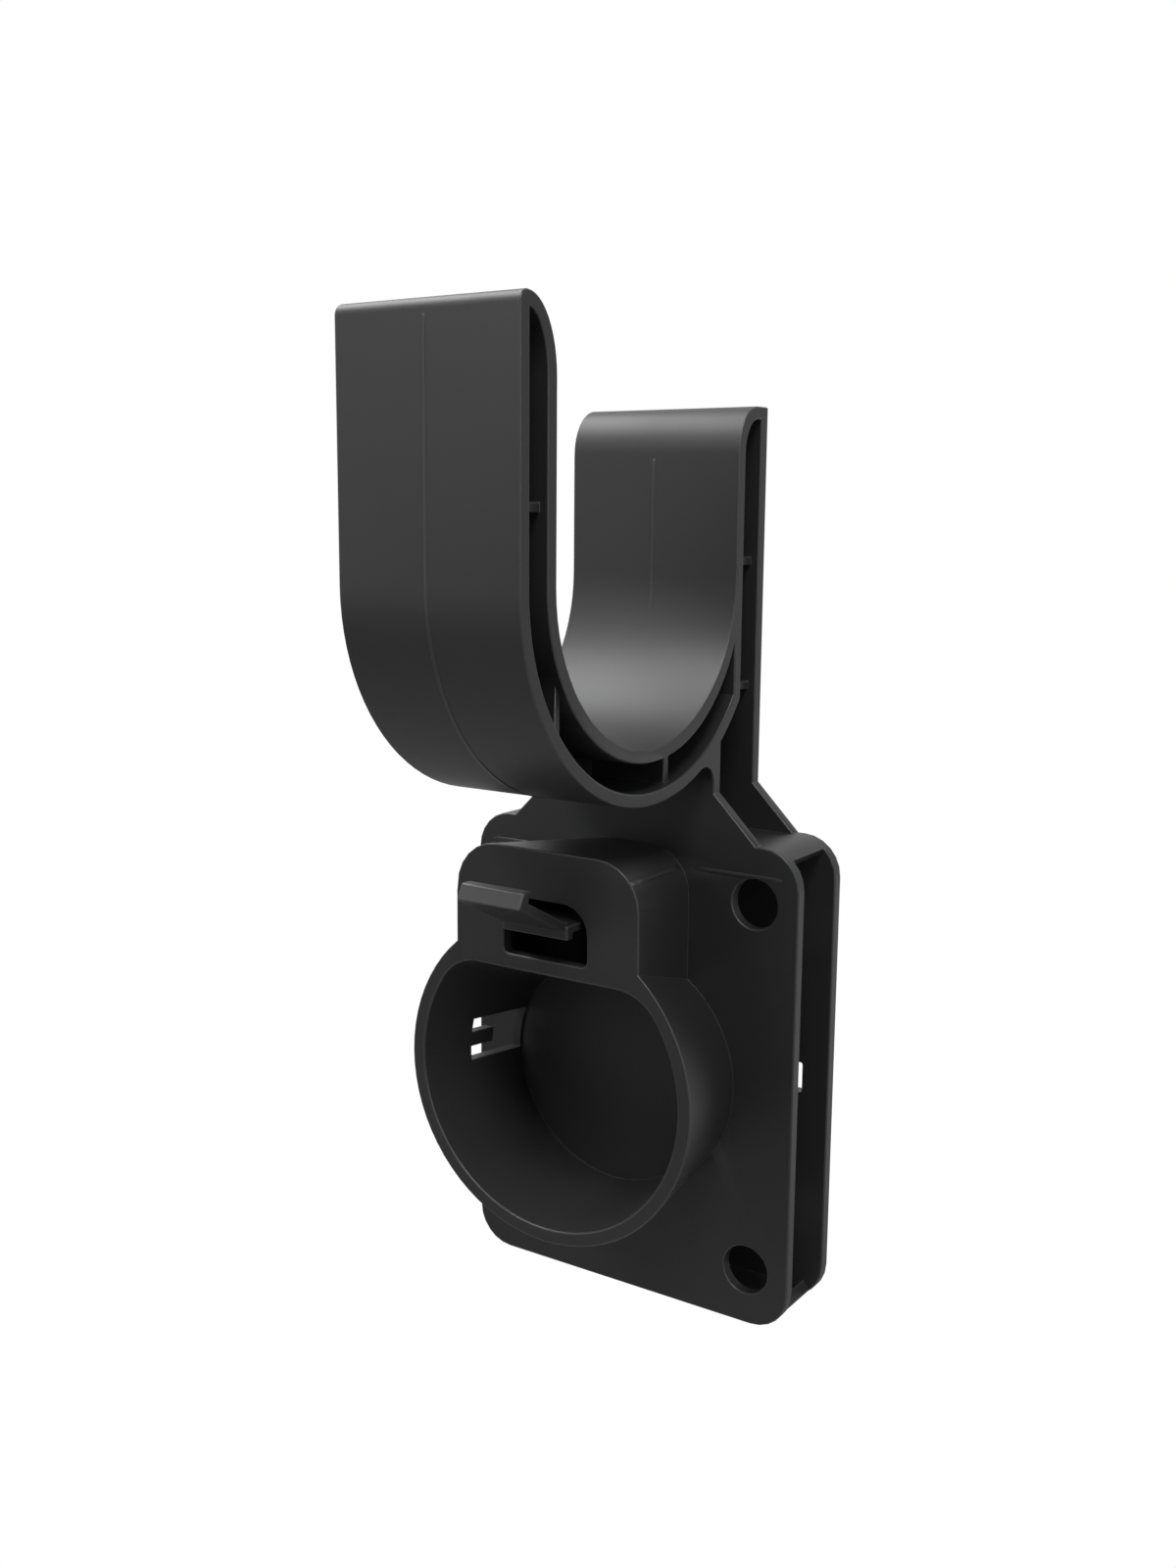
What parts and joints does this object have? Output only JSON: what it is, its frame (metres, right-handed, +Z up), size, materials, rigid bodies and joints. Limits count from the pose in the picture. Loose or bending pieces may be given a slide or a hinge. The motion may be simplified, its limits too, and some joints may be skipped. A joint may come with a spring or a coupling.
{
  "type": "charging connector holder",
  "caption": "Wall holder moulded in one piece: a boxed screw plate, a flat-topped connector cup with a sprung latch catch, and a U hook for the cable above it.",
  "frame": {"origin": "middle of the screw plate's wall face", "axes": "+X across the plate, to the right seen from the front; +Y into the wall; +Z up"},
  "size_m": [0.09, 0.0959, 0.2296],
  "materials": {
    "charcoal_plastic": "satin"
  },
  "bodies": {
    "root": {"holder": "charcoal_plastic"}
  },
  "joints": []
}
